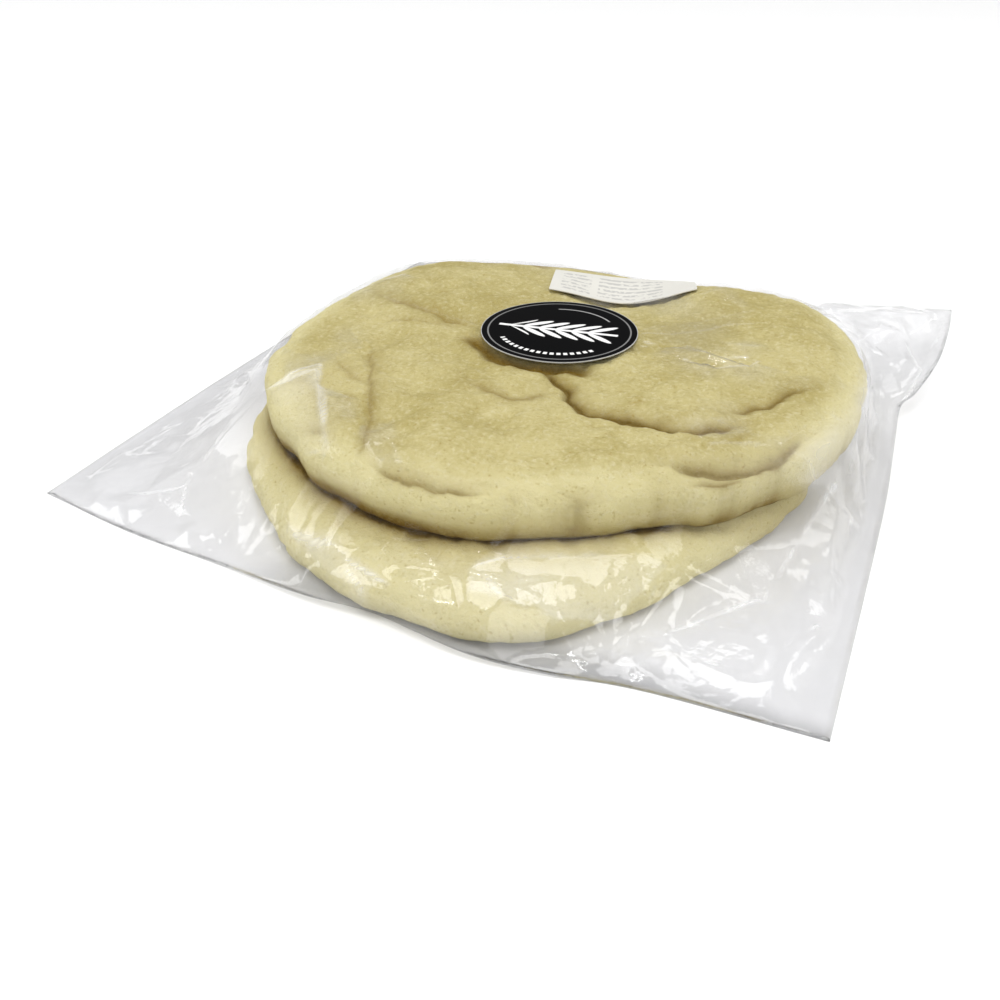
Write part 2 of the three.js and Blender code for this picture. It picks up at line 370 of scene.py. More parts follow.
def bread_paint(name):
    """Soft baked dough: mottled, pale at the rim, dusted with flour, with painted shade that darkens its
    creases and the gap under the upper bread's edge.
    """
    paint = Paint(name)
    slow = paint.noise(38, 2)
    mottle = paint.noise(8, 4, 0.65)
    fine = paint.noise(1.7, 4, 0.7)
    pores = paint.noise(1.1, 3, 0.6)
    cloud = slow * 0.45 + mottle * 0.3 + fine * 0.25
    base = paint.blend(cloud.ramp(0.38, 0.6), BREAD_DEEP, BREAD_PALE)
    rim = paint.blend(paint.attribute("rim") * 0.8, base, BREAD_RIM)
    toasted = paint.blend(paint.noise(13, 5, 0.72).ramp(0.6, 0.8) * 0.5, rim, BREAD_TOAST)
    floury = paint.blend(fine.ramp(0.48, 0.75) * 0.42, toasted, BREAD_FLOUR)
    dark = paint.blend(pores.ramp(0.44, 0.26) * 0.5, floury, BREAD_TOAST)
    specks = paint.blend(paint.noise(1.6, 1, 0.4).ramp(0.22, 0.16) * 0.3, dark, BREAD_SPECK_AND_SHADE)
    # Painted shade: the two attributes below darken the creases, the seal's front edge and the gap between
    # the breads.
    rough_painted_shade = paint.attribute("fold") * (0.5 + fine * 0.6 + pores * 0.4)
    creased = paint.blend(rough_painted_shade, specks, BREAD_SPECK_AND_SHADE)
    deep_shaded = paint.blend(paint.attribute("shade_line") * 1.1, creased, BREAD_DEEPEST_SHADE)
    height = fine * 0.55 + pores * 0.45 + mottle * 0.8
    relief = {"Normal": paint.bump(height, BUMP_DEPTH), "Specular IOR Level": 0.08}
    return paint.finish(paint.surface(deep_shaded, 0.8, relief))


def lower_underside(x, y):
    return 0 * x + TABLE_GAP


def stands_for_the_bag(piece):
    """Puts a piece in the place of the solid bag."""
    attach(piece, "root")
    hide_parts("bag")


lower = bread_body("lower_bread", LOWER, lower_top, lower_underside, 11)
lower_x, lower_y, lower_z = drawing_points(lower).T
stands_for_the_bag(lower)


# ---- Upper bread ---------------------------------------------------------------------
# A second soft flatbread on the first. Handling has pressed one deep fold and several
# shallow ones into it, and its back edge droops.

UPPER = {
    "middle": (8.0, -4.0),
    "radius": 103.7,
    "waves": ((1, 8.4, 106), (2, 2.2, 35), (3, 5.5, 52), (4, 3.2, 162), (5, 2.5, -93)),
    "widest": 0.42,
    "under": 3.0,
}
UPPER_BASE = 17.0  # height from which its thickness is reckoned
SAG_LOW = 13.6  # how low its underside sags past the lower bread's edge
UPPER_ROUND_FRONT = 15.6  # how wide the rim's upper rounding is at the front
UPPER_ROUND_BACK = 35.0  # and at the back, where the bread droops
TOP_HEIGHT = 34.4
TOP_SLOPE = 0.045
SLOPE_START = -25.0  # along the lean, from where the top slopes
TOP_LEAN = (-0.43, 0.9)  # the direction in which it slopes
DROOP = 0.002  # its extra fall with the square of the way past DROOP_START
DROOP_START = 35.0
SEAL_RADIUS = 28.5
SEAL_DIP = 2.4  # depth of the hollow along the seal's front edge
SEAL_DIP_WIDTH = 4.0
PRESS_MARGIN = 7.0  # ring round the seal over which the dough is pressed level

LUMPS = (  # x, y, spread, height
    (12, 58, 20, -5),
    (46, 62, 16, 3),
    (-52, 20, 30, 1.2),
    (-62, -34, 17, -1.6),
    (4, -62, 26, 1.3),
    (56, -66, 18, 1.6),
    (62, -22, 17, 1.4),
    (78, 28, 22, 1.2),
    (-72, 58, 40, 4.8),
    (80, 78, 36, 4.5),
)
CREASE_LINES = (  # depth, width behind and before it, how dark its painted shade is, where it runs
    (3, 2.6, 0.9, 0.85, ((11, -21), (14, -25), (17, -28), (23, -31), (26, -36.5), (30, -40.5), (35, -44),
                           (42, -43.5), (49, -43.5), (56, -43.5), (63, -43), (68, -42.5))),
    (1.8, 1.7, 0.9, 0.75, ((63, -43), (68, -42.5), (73, -40), (78, -36), (82, -32))),
    (0.8, 1.5, 1, 0.3, ((79, -42), (83, -39), (87, -34))),
    (1, 4.2, 3, 0.55, ((-7, -45), (-1, -44), (5, -46), (11, -46), (16, -44), (19, -40), (19, -36))),
    (1.3, 1.8, 1, 0.7, ((77, -26), (82, -20), (87, -14), (90, -7), (93, -1), (97, 2))),
    (2.6, 2.1, 1.1, 0.68, ((68, -62), (73, -60.5), (78, -57.5), (85, -53), (89, -49), (94, -43),
                           (98, -35), (101, -27))),
    (1.8, 2.2, 1.4, 0.65, ((75, -64), (81, -59.5), (86, -55), (90, -50.5))),
    (1.6, 6, 6, 0.4, ((64, -71), (69, -69), (73, -67))),
    (1.2, 0.7, 1.5, 0.5, ((-53, -30), (-45, -43), (-36, -57), (-30, -67), (-24, -78), (-21, -85),
                          (-19, -91), (-18, -95))),
    (1.2, 2.4, 2.4, 0.4, ((-59, -44), (-50, -50), (-42, -55), (-38, -57))),
    (0.9, 1, 1, 0.5, ((-44, -86), (-36, -88), (-30, -90))),
    (1.3, 1.3, 0.8, 0.6, ((-12, -96), (-5, -98), (3, -98.8), (10, -98.5), (17, -97), (25, -94))),
    (0.9, 1.2, 1, 0.5, ((29, -94), (33, -92), (36, -90.5))),
    (1.2, 1.2, 1, 0.55, ((44, -87), (49, -84.5), (54, -81))),
    (1.6, 2.6, 1.2, 0.5, ((-71, 9), (-53, 5), (-37, 3), (-27, 3))),
    (0.8, 2.4, 1.4, 0.3, ((-61, -9), (-43, -4), (-29, 1))),
    (0.8, 3, 3, 0.12, ((-74, 43), (-59, 29), (-46, 20))),
)
CREASE_STEPS = 13  # points along each
CREASE_SHARP = 0.74  # share of its depth in a sharp notch; the rest is a soft hollow
CREASE_SOFT = 2.6  # the hollow is this many times as wide as the notch
CREASE_LIP = 0.28  # the dough behind a crease bulges by this share of its depth
LIP_PLACE = 2.6  # this many widths behind it
LIP_SPREAD = 1.8
CREASE_TAPER = 9.0  # it runs out over this length at its ends
CREASE_WANDER = ((0.24, 9), (0.1, 3.5))  # height and length of its small bends
SHADE_SPREAD = (2.4, 1.1)  # how far the painted shade reaches behind and before a crease
SHADE_SHARE = 0.6  # or this share of its width, if that is more
LINE_WIDTH = 0.9  # the painted dark line of shade in a deep one, from half dark up
SEEN_BEHIND = 0.3  # it lies this share of the depth behind the bottom
UNDER_SEAL_DIP = ((-21, -10), (-8, -19), (8, -22), (22, -17))
NEAR_GAP = (-12, -7)  # the painted shade of the gap ends between these distances under the bread


def smooth_line(points, count):
    """Points evenly spaced along a smooth curve through the given ones."""
    knots = np.array(points, float)
    padded = np.vstack([2 * knots[0] - knots[1], knots, 2 * knots[-1] - knots[-2]])
    t = np.linspace(0, 1, 24, endpoint=False)[:, None]
    pieces = []
    for p0, p1, p2, p3 in zip(padded, padded[1:], padded[2:], padded[3:]):
        cubic = (3 * p1 - p0 - 3 * p2 + p3) * t ** 3 + (2 * p0 - 5 * p1 + 4 * p2 - p3) * t ** 2
        pieces.append(0.5 * (cubic + (p2 - p0) * t + 2 * p1))
    line = np.vstack([*pieces, knots[-1:]])
    along = np.r_[0, np.cumsum(np.linalg.norm(np.diff(line, axis=0), axis=1))]
    steps = np.linspace(0, along[-1], count)
    return np.stack([np.interp(steps, along, axis) for axis in line.T], 1)


def side_of_line(points, x, y):
    """Distance to a line of points, positive on the left of its direction."""
    nearest = np.full(np.broadcast(x, y).shape, np.inf)
    for a, b in zip(points[:-1], points[1:]):
        span = b - a
        along = np.clip(((x - a[0]) * span[0] + (y - a[1]) * span[1]) / (span @ span), 0, 1)
        away = np.hypot(x - a[0] - span[0] * along, y - a[1] - span[1] * along)
        side = np.where(span[0] * (y - a[1]) - span[1] * (x - a[0]) < 0, -1, 1)
        nearest = np.where(away < np.abs(nearest), away * side, nearest)
    return nearest


def distance_to_line(points, x, y):
    """Distance to a line of points, on either side."""
    return np.abs(side_of_line(points, x, y))


def gauss(distance, spread):
    """1 at no distance, falling off softly on both sides."""
    return np.exp(-(distance / spread) ** 2)


def plateau(x, y):
    """The height of the upper bread's top without its lumps and rim."""
    lean = (x - SEAL_PLACE[0]) * TOP_LEAN[0] + (y - SEAL_PLACE[1]) * TOP_LEAN[1]
    past = np.maximum(lean - DROOP_START, 0)
    return TOP_HEIGHT - TOP_SLOPE * np.maximum(lean, SLOPE_START) - DROOP * past ** 2


def lump_height(x, y):
    """The soft swellings and hollows of the upper bread's top."""
    return sum(height * gauss(np.hypot(x - cx, y - cy), spread) for cx, cy, spread, height in LUMPS)


def creases(x, y):
    """The creases' sharp notches, soft hollows with a lip behind, painted shade and a painted dark line of
    shade.
    """
    notch, hollow, painted_shade, shade_line = np.zeros((4, *np.broadcast(x, y).shape))
    wander = ripples(CREASE_WANDER, x, y, 71, 20)
    for depth, behind, before, dark, places in CREASE_LINES:
        line = smooth_line(places, CREASE_STEPS)
        side = side_of_line(line, x, y) + wander
        away = np.abs(side)
        width = np.where(side > 0, behind, before)
        to_start = np.hypot(x - line[0, 0], y - line[0, 1])
        to_end = np.hypot(x - line[-1, 0], y - line[-1, 1])
        taper = smoothstep(np.minimum(to_start, to_end), -3, CREASE_TAPER)
        notch -= CREASE_SHARP * depth * taper * np.exp(-away / width)
        hollow -= (1 - CREASE_SHARP) * depth * taper * gauss(away, CREASE_SOFT * width)
        hollow += CREASE_LIP * depth * taper * gauss(side - LIP_PLACE * behind, LIP_SPREAD * behind)
        seen = np.abs(side - SEEN_BEHIND * depth)
        spread = np.maximum(np.where(side > 0, *SHADE_SPREAD), SHADE_SHARE * width)
        painted_shade = np.maximum(painted_shade, dark * taper * np.exp(-seen / spread))
        shade_line = np.maximum(shade_line, (2 * dark - 1) * taper * np.exp(-seen / LINE_WIDTH))
    return notch, hollow, painted_shade, shade_line


def dip_by_seal(x, y):
    """The hollow along the seal's front edge, where the dough sinks away from the film."""
    return gauss(distance_to_line(np.array(UNDER_SEAL_DIP, float), x, y), SEAL_DIP_WIDTH)


def past_seal(x, y):
    """Distance outside the seal's edge, negative under it."""
    return np.hypot(x - SEAL_PLACE[0], y - SEAL_PLACE[1]) - SEAL_RADIUS


def seal_press(x, y):
    """1 under the seal, where the dough is pressed level, and 0 away from it."""
    return 1 - smoothstep(past_seal(x, y), 1, PRESS_MARGIN)


def upper_top(x, y, inside, extra=0.0):
    """The upper bread's smooth top with its rounded rim, and with extra swellings if given."""
    lumps = lump_height(x, y) + extra
    top = plateau(x, y) + lumps * (1 - seal_press(x, y))
    back = smoothstep((y - UPPER["middle"][1]) / UPPER["radius"], 0, 0.8)
    profile = edge_profile(inside, mix(UPPER_ROUND_FRONT, UPPER_ROUND_BACK, back), UPPER["widest"])
    return UPPER_BASE + (top - UPPER_BASE) * profile


def upper_skin(x, y, inside):
    """The upper bread's top with its creases."""
    notch, hollow, _, _ = creases(x, y)
    fade = smoothstep(inside, -1, 3)
    return upper_top(x, y, inside) + fade * (notch + hollow - SEAL_DIP * dip_by_seal(x, y))


def rim_paleness(bread, x, y, z, base, width=15):
    """1 on the little-baked rim and 0 on the top, with the change over a width."""
    near = 1 - smoothstep(inside_by(bread, x, y), 4, width)
    return near * smoothstep(z, base - 1, base + 3)


def upper_underside(x, y):
    """Its bottom, which rests on the lower bread and sags a little past its edge."""
    return np.maximum(lower_top(x, y, inside_by(LOWER, x, y)) - SKIN_DEPTH + 0.4, SAG_LOW)


upper = bread_body("upper_bread", UPPER, upper_skin, upper_underside, 31)
upper_x, upper_y, upper_z = drawing_points(upper).T
stands_for_the_bag(upper)
# Painted shade: darker paint along the creases, in the hollow at the seal's front edge, and on the rim's
# underside, painted darker towards the left.
_, _, crease_painted_shade, crease_shade_line = creases(upper_x, upper_y)
under_rim_shade = smoothstep(-upper_z, -UPPER_BASE - 7, -UPPER_BASE - 0.5)
under_rim_shade *= smoothstep(-inside_by(UPPER, upper_x, upper_y), *NEAR_GAP)
seal_shade = 0.95 * dip_by_seal(upper_x, upper_y)
rim_shade_strength = 0.25 + 0.65 * smoothstep(-upper_x, -45, 5)
add_attribute(upper, "fold", np.clip(np.maximum(crease_painted_shade, seal_shade) + rim_shade_strength * under_rim_shade, 0, 1))
add_attribute(upper, "shade_line", crease_shade_line)
add_attribute(upper, "rim", rim_paleness(UPPER, upper_x, upper_y, upper_z, UPPER_BASE))
coat(upper, bread_paint("upper_bread_skin"))

# Painted shade: the lower bread is painted browner and darker where the upper one's edge lies on it, less so
# to the right.
beneath = inside_by(UPPER, lower_x, lower_y)
near_gap = smoothstep(-beneath, *NEAR_GAP)
gap_shade = 0.95 - 0.4 * smoothstep(lower_x, -5, 40) - 0.25 * smoothstep(lower_x, 65, 85)
add_attribute(lower, "fold", near_gap * gap_shade * np.exp(-np.maximum(2.0 - beneath, 0) / 3.4))
shadow = 0.85 * smoothstep(beneath, 1.0, 3.0) * (1 - smoothstep(lower_x, 65, 85))
add_attribute(lower, "shade_line", near_gap * shadow)
add_attribute(lower, "rim", rim_paleness(LOWER, lower_x, lower_y, lower_z, TABLE_GAP, 34))
coat(lower, bread_paint("lower_bread_skin"))


# ---- Film bag ------------------------------------------------------------------------
# A flat pouch of thin clear film, welded along its two sides. It is a little too large
# for the breads, so the film creases where it is slack and pulls straight where it is tight.

FRONT_EDGE = (  # x, y and height along each edge of the bag
    (-130, -117, 0), (-90, -122, 0), (-52, -123.5, 0.3), (-20, -126, 2), (4, -125, 3),
    (34, -127.5, 2), (56, -124.5, 0.8), (82, -118.5, 0), (130, -115, 0),
)
RIGHT_EDGE = (
    (130, -115, 0), (129, -60, 0), (127.5, 0, 0), (125, 38, 1.5), (123.6, 60, 5),
    (127.5, 68, 8), (132.3, 87, 14), (133.2, 113, 16.5), (132.3, 131, 18),
)
BACK_EDGE = (
    (-120, 122, 0), (-60, 128, 0), (0, 131, 1), (50, 134, 5), (96, 134, 12), (132.3, 131, 18),
)
LEFT_EDGE = ((-130, -117, 0), (-130, -60, 0), (-129, 0, 0), (-126, 60, 0), (-120, 122, 0))
FILM_CLEAR = 0.4  # the film's height over the breads' highest skin
SIDE_CLEAR = 1.3  # and its distance from their edges
COVER_FALL = (9, 6)  # how steeply it may fall from the upper bread and from the lower
COVER_DROP = 0.65  # how far under that height it may sink between two high places
SKIRT = 1.3  # how far the upper film stands above the lower in the empty edge
DRAPE_POWER = 2.5  # how quickly it falls from the bread to its edge
UNDER_CELLS = 96  # the lower film's cells a side
OVER_CELLS = 3 * UNDER_CELLS  # the upper film's
MAP_STEP = 0.5  # spacing of the height map on which the film is worked out
MAP_LOW = np.array([-140.0, -135.0])
MAP_COUNT = (560, 550)
MAP_HIGH = 150.0  # folds are scattered up to here
SEAM_WIDTH = 4.0  # the weld along the bag's two sides
BAG_SIZE = 260.0  # its length a side, on average
CREASE_ROOM = 8.0  # how close a random fold may come to a lasting crease
FOLD_SPACING = 17.0  # spacing of the random folds
FOLD_JITTER = 0.42  # how far they stray, as a share of it
CRINKLE_SPACING = (9, 3.6)  # spacing of the two finer nets of folds over the breads
UNDER_SPACING = 14.0  # and of the one in the lower film
CRINKLE_LOW = 0.5  # the height of its folds
RIM_PLACE = 4.0  # the film is looser in a ring this far inside the bread's edge
RIM_SPREAD = 12.0
SKIRT_REACH = 18.0  # and fully slack from this far outside it
CREASES = (  # x, y and height over the smooth film, along each crease
    ((-68, -71, 0.8), (-53, -62, 2.6), (-40, -77, 3), (-27, -96, 2.4), (-37, -94, 0.5)),
    ((-50, -36, 0.2), (-28, -70, 0.2), (-17, -101, 0.4)),
    ((-25, -80, 0.8), (-10, -89, 1.6), (-2, -96, 0.8)),
    ((-79, 7, 1.4), (-59, 2, 0.8), (-25, -1, 0.3)),
    ((-73, -17, 0.3), (-45, -7, 0.4)),
    ((-54, -45, 0.9), (-48, -38, 0.9)),
    ((32, 19, 0.8), (50, 33, 1), (65, 48, 0.8)),
    ((37, 5, 0.6), (53, 10, 1.2), (76, 4, 1.6)),
    ((42, -1, 0.5), (67, -3, 1.2)),
    ((30, -110, 2), (35, -105, 2.5), (68, -85, 2.5), (75, -85, 3)),
    ((75, -85, 3), (75, -93, 2.4), (70, -110, 1.6)),
    ((30, -110, 2), (40, -116, 1), (56, -112, 0.6)),
    ((80, -85, 0.6), (75, -100, 0.6)),
    ((70, -110, 1.6), (83, -101, 2.6), (102, -80, 2), (122, -71, 1.4)),
    ((70, -110, 1.6), (82, -103, 2.4), (99, -105, 1.6), (118, -108, 0.8)),
    ((70, -110, 1.6), (65, -115, 1)),
    ((122, -71, 1.4), (113, -91, 2.4), (123, -98, 1.2)),
    ((-114, -25, 1.4), (-84, -71, 2.4), (-81, -88, 3), (-81, -102, 3.4), (-76, -112, 1.2)),
    ((-126, -114, 0.3), (-94, -108, 1.6), (-81, -102, 3.4)),
    ((-73, -89, 1.2), (-46, -119, 0.8)),
    ((-37, -111, 1.4), (-14, -117, 2.2), (8, -122, 1.6)),
    ((-14, -117, 2.2), (2, -125, 0.6)),
    ((-36, -113, 0.3), (-16, -120, 0.3)),
    ((116, 51, 1.5), (118, -5, 2.5), (121, -47, 2.2), (122, -71, 1.4)),
    ((112, -20, 1.5), (107, -52, 2.2), (104, -78, 2)),
    ((124, 60, 2), (127, 79, 3), (116, 91, 3), (103, 94, 1.5)),
    ((127, 79, 3), (131, 117, 1)),
    ((50, -122, 1), (65, -115, 1)),
    ((25, -101, 1), (38, -92, 1)),
    ((69, -35, 0.8), (84, -40, 1.2), (73, -48, 0.8)),
    ((77, -51, 1.2), (92, -40, 1)),
    ((37, 9, 0.6), (50, 0, 2.2), (63, -3, 2.4), (75, 3, 1.6), (77, 9, 0.4)),
    ((37, 10, 0.5), (48, 6, 1.8), (60, 6, 2.2), (73, 9, 1.2)),
    ((33, 17, 0.4), (44, 18, 1.4), (54, 25, 1.6), (60, 33, 1.2), (68, 38, 0.5)),
    ((42, 54, 0.8), (50, 61, 1.4)),
    ((62, 18, 0.8), (70, 17, 1.5), (78, 20, 0.8)),
    ((-68, -71, 0.8), (-61, -66, 1.6), (-55, -57, 2)),
    ((-55, -57, 2), (-47, -70, 1.9), (-39, -81, 1.9), (-31, -91, 1.6), (-28, -97, 0.8)),
    ((-24, -84, 0.6), (-19, -89, 1.8), (-13, -93, 1.9), (-7, -97, 0.8)),
    ((12, -105, 0.4), (25, -99, 1.2), (35, -93, 0.6)),
    ((78, -50, 0.5), (88, -44, 1.2), (95, -38, 1.4), (107, -30, 0.7)),
    ((106, -12, 0.8), (115, 2, 1.2)),
    ((98, 3, 0.6), (106, 7, 1.2), (113, 20, 0.8)),
    ((-60, -42, 0.7), (-52, -37, 1.1)),
    ((68, -80, 0.8), (72, -78, 1.4), (80, -81, 1.6)),
    ((76, -69, 0.6), (78, -64, 1.5), (83, -64, 1.2)),
    ((-76, 22, 0.5), (-70, 24, 1.5), (-64, 25, 0.5)),
)
FILM_MIRROR = 0.056  # the share of light that free film mirrors when seen squarely
RIDGE_HIGHLIGHT = 0.34  # how white the painted highlight along a hard crease is
RIDGE_WIDTH = 0.5
PAINTED_REFLECTION_PATCHES = (  # how white the painted reflection is, and the outline of film that catches the light
    (0.16, ((31, -118), (40, -116), (49, -113), (55, -113), (62, -108), (69, -105), (71, -97),
           (75, -88), (77, -84), (71, -83.5), (56, -91.5), (42, -98.5), (32, -104), (28, -111))),
    (0.13, ((-68, -70), (-59, -79), (-47, -89), (-34, -96), (-28, -95), (-30, -91), (-46, -71), (-55, -57))),
    (0.14, ((-37, -110), (-17, -120), (1, -126), (7, -121), (-14, -114))),
)
VEIL_WHITE = 0.24  # how white it is where it leaves the upper bread's edge
VEIL_WIDTH = 3.6
ON_TOP = 4.0  # height over which a place is on the upper film, not the lower
CLING_MIRROR = 0.006  # the share where it clings to the bread
CLING_GAP = (0.8, 2.2)  # gap under the film from where it clings to where it is free
LABEL_PLACE = np.array([8.6, 66.3])
LABEL_TURN = math.radians(17)
LABEL_LENGTH = 58.0
LABEL_DEPTH = 28.0


def within_outline(points, x, y):
    """Distance inside a closed outline of points, negative outside it."""
    loop = np.array([*points, points[0]], float)
    inside = np.zeros(x.shape, bool)
    for (ax, ay), (bx, by) in zip(loop[:-1], loop[1:]):
        rows = (ay > y) != (by > y)
        inside[rows] ^= x[rows] < ax + (y[rows] - ay) * (bx - ax) / (by - ay)
    return distance_to_line(loop, x, y) * np.where(inside, 1, -1)


def outline_patch(count):
    """A grid of points inside the bag's four edges, [left to right, front to back, xyz]."""
    front, back = (smooth_line(edge, count)[:, None] for edge in (FRONT_EDGE, BACK_EDGE))
    left, right = (smooth_line(edge, count)[None] for edge in (LEFT_EDGE, RIGHT_EDGE))
    u = np.linspace(0, 1, count)[:, None, None]
    v = np.linspace(0, 1, count)[None, :, None]
    corners = (1 - u) * (1 - v) * front[0, 0] + u * (1 - v) * front[-1, 0]
    corners = corners + (1 - u) * v * back[0, 0] + u * v * back[-1, 0]
    grid = (1 - v) * front + v * back + (1 - u) * left + u * right - corners
    grid[..., 2] = np.maximum(grid[..., 2], 0)
    return grid


def bag_reach():
    """All round the upper bread's middle: direction, way to the bag's edge, the edge's height,
    and how far the lower bread reaches."""
    edges = [smooth_line(edge, 200) for edge in (FRONT_EDGE, RIGHT_EDGE, BACK_EDGE, LEFT_EDGE)]
    rim = np.vstack(edges)
    angle, reach = from_middle(UPPER, *rim[:, :2].T)
    order = np.argsort(angle)
    step = 0.25
    away = step * np.arange(801)[:, None]
    x = UPPER["middle"][0] + away * np.cos(angle[order])
    y = UPPER["middle"][1] + away * np.sin(angle[order])
    inner = (inside_by(LOWER, x, y) > 0).sum(0) * step
    return angle[order], reach[order], rim[order, 2], inner


REACH_ANGLE, REACH, REACH_HEIGHT, LOWER_REACH = bag_reach()


def around(angle, values):
    """One of those rows of values, in any direction."""
    return np.interp(angle, REACH_ANGLE, values, period=2 * math.pi)


def bread_cover(x, y):
    """The height of the breads' top, as the film meets it."""
    within = inside_by(UPPER, x, y) + SIDE_CLEAR
    over = upper_top(x, y, within, np.maximum(creases(x, y)[1], 0))
    beside = upper_top(x, y, 0 * x) + within * COVER_FALL[0]
    high = np.where(within > 0, over, np.maximum(beside, 0))
    within = inside_by(LOWER, x, y) + SIDE_CLEAR
    beside = LOWER_TOP * LOWER["widest"] + within * COVER_FALL[1]
    low = np.where(within > 0, lower_top(x, y, within), np.maximum(beside, 0))
    return np.maximum(high, low)


def film_drape(x, y):
    """The film pulled smooth over the breads and down to the bag's edge."""
    angle, away = from_middle(UPPER, x, y)
    rim = outline_radius(UPPER, angle)
    reach, edge = around(angle, REACH), around(angle, REACH_HEIGHT)
    out = np.clip((away - rim) / np.maximum(reach - rim, 1), 0, 1)
    start = upper_top(x, y, 0 * x)
    skirt = edge + SKIRT
    drape = skirt + (start - skirt) * (1 - out) ** DRAPE_POWER
    return np.maximum(bread_cover(x, y) + FILM_CLEAR, np.where(out > 0, drape, 0))


MAP_X = MAP_LOW[0] + MAP_STEP * np.arange(MAP_COUNT[0])[:, None] + np.zeros(MAP_COUNT)
MAP_Y = MAP_LOW[1] + MAP_STEP * np.arange(MAP_COUNT[1])[None] + np.zeros(MAP_COUNT)


def read_map(height, x, y):
    """A height map's value at any place."""
    u = np.clip((x - MAP_LOW[0]) / MAP_STEP, 0, MAP_COUNT[0] - 1.001)
    v = np.clip((y - MAP_LOW[1]) / MAP_STEP, 0, MAP_COUNT[1] - 1.001)
    i, j = u.astype(int), v.astype(int)
    u, v = u - i, v - j
    near = height[i, j] * (1 - u) + height[i + 1, j] * u
    far = height[i, j + 1] * (1 - u) + height[i + 1, j + 1] * u
    return near * (1 - v) + far * v


def soften(height):
    """A height map with its sharp ridges rounded by one step."""
    for axis in (0, 1):
        ahead, behind = np.roll(height, 1, axis), np.roll(height, -1, axis)
        height = height * 0.5 + (ahead + behind) * 0.25
    return height


def level_ground(x, y):
    return 0 * x


def facets(points, heights, edges=(), crossing=level_ground):
    """A height map of flat triangles through the points: film folds along straight lines.

    Where two of the edges cross there is a new point, whose height comes from crossing.
    """
    places = [Vector(point) for point in points]
    made, _, triangles, sources, _, _ = delaunay_2d_cdt(places, list(edges), [], 0, 1e-4)
    place = np.array([tuple(point) for point in made])
    level = crossing(*place.T)
    for row, source in enumerate(sources):
        level[row] = heights[source[0]] if source else level[row]
    result = np.zeros(MAP_COUNT)
    for a, b, c in triangles:
        low = np.maximum(((place[[a, b, c]].min(0) - MAP_LOW) / MAP_STEP).astype(int), 0)
        high = ((place[[a, b, c]].max(0) - MAP_LOW) / MAP_STEP).astype(int) + 2
        area = (slice(low[0], high[0]), slice(low[1], high[1]))
        x, y = MAP_X[area], MAP_Y[area]
        (ax, ay), (bx, by), (cx, cy) = place[a], place[b], place[c]
        whole = (by - cy) * (ax - cx) + (cx - bx) * (ay - cy)
        if x.size == 0 or abs(whole) < 1e-9:
            continue
        first = ((by - cy) * (x - cx) + (cx - bx) * (y - cy)) / whole
        second = ((cy - ay) * (x - cx) + (ax - cx) * (y - cy)) / whole
        third = 1 - first - second
        inside = (first > -1e-6) & (second > -1e-6) & (third > -1e-6)
        result[area][inside] = (first * level[a] + second * level[b] + third * level[c])[inside]
    return result


def scattered(spacing, seed):
    """Points at an uneven spacing over the whole map."""
    draw = np.random.default_rng(seed)
    x = np.arange(MAP_LOW[0] - spacing, MAP_HIGH, spacing)
    y = np.arange(MAP_LOW[1] - spacing, MAP_HIGH, spacing)
    grid = np.stack(np.meshgrid(x, y, indexing="ij"), -1).reshape(-1, 2)
    return grid + draw.uniform(-FOLD_JITTER, FOLD_JITTER, grid.shape) * spacing


def crinkle(spacing, height, seed):
    """Random facets about one spacing wide."""
    points = scattered(spacing, seed)
    draw = np.random.default_rng(seed + 1)
    return facets(points.tolist(), draw.normal(0, height, len(points)))


def soft_maximum(a, b, width):
    """The larger of two heights, with the join between them rounded."""
    apart = np.clip((a - b) / width, -1, 1)
    return np.maximum(a, b) + width * 0.25 * (1 - np.abs(apart)) ** 2


def film_map():
    """The upper film's height: facets between its supports, and close over the breads."""
    within = inside_by(UPPER, MAP_X, MAP_Y)
    skirt = smoothstep(-within, 0, SKIRT_REACH)
    rim = gauss(within - RIM_PLACE, RIM_SPREAD)
    points = scattered(FOLD_SPACING, 5)
    draw = np.random.default_rng(6)
    clear = np.ones(len(points), bool)
    for crease in CREASES:
        line = np.array(crease)[:, :2]
        clear &= distance_to_line(line, *points.T) > CREASE_ROOM
    points = points[clear]
    there = inside_by(UPPER, *points.T)
    loose = 0.15 + 0.4 * gauss(there - RIM_PLACE, RIM_SPREAD) + 1.2 * smoothstep(-there, 0, SKIRT_REACH)
    heights = film_drape(*points.T) + np.abs(draw.normal(0, 1, len(points))) * loose
    chain, edges = [], []
    for crease in CREASES:
        first = len(points) + len(chain)
        edges += [(k, k + 1) for k in range(first, first + len(crease) - 1)]
        chain += crease
    chain = np.array(chain)
    points = np.vstack([points, chain[:, :2]])
    heights = np.r_[heights, film_drape(*chain[:, :2].T) + chain[:, 2]]
    large = facets(points.tolist(), heights, edges, film_drape)
    patches = np.clip(0.5 + 0.6 * ripple(MAP_X, MAP_Y, 50, 3), 0, 1.4)
    medium = crinkle(CRINKLE_SPACING[0], 1.0, 15) * (0.14 + 0.5 * skirt + 0.34 * rim)
    small = crinkle(CRINKLE_SPACING[1], 1.0, 25) * (0.03 + 0.15 * skirt * patches + 0.09 * rim * patches)
    cover = bread_cover(MAP_X, MAP_Y) + FILM_CLEAR
    return soften(soft_maximum(cover - COVER_DROP, large, 0.5) + np.abs(medium) + np.abs(small))


def label_axes(x, y):
    """Distances along and across the label from its middle."""
    return turned_axes(x - LABEL_PLACE[0], y - LABEL_PLACE[1], LABEL_TURN)


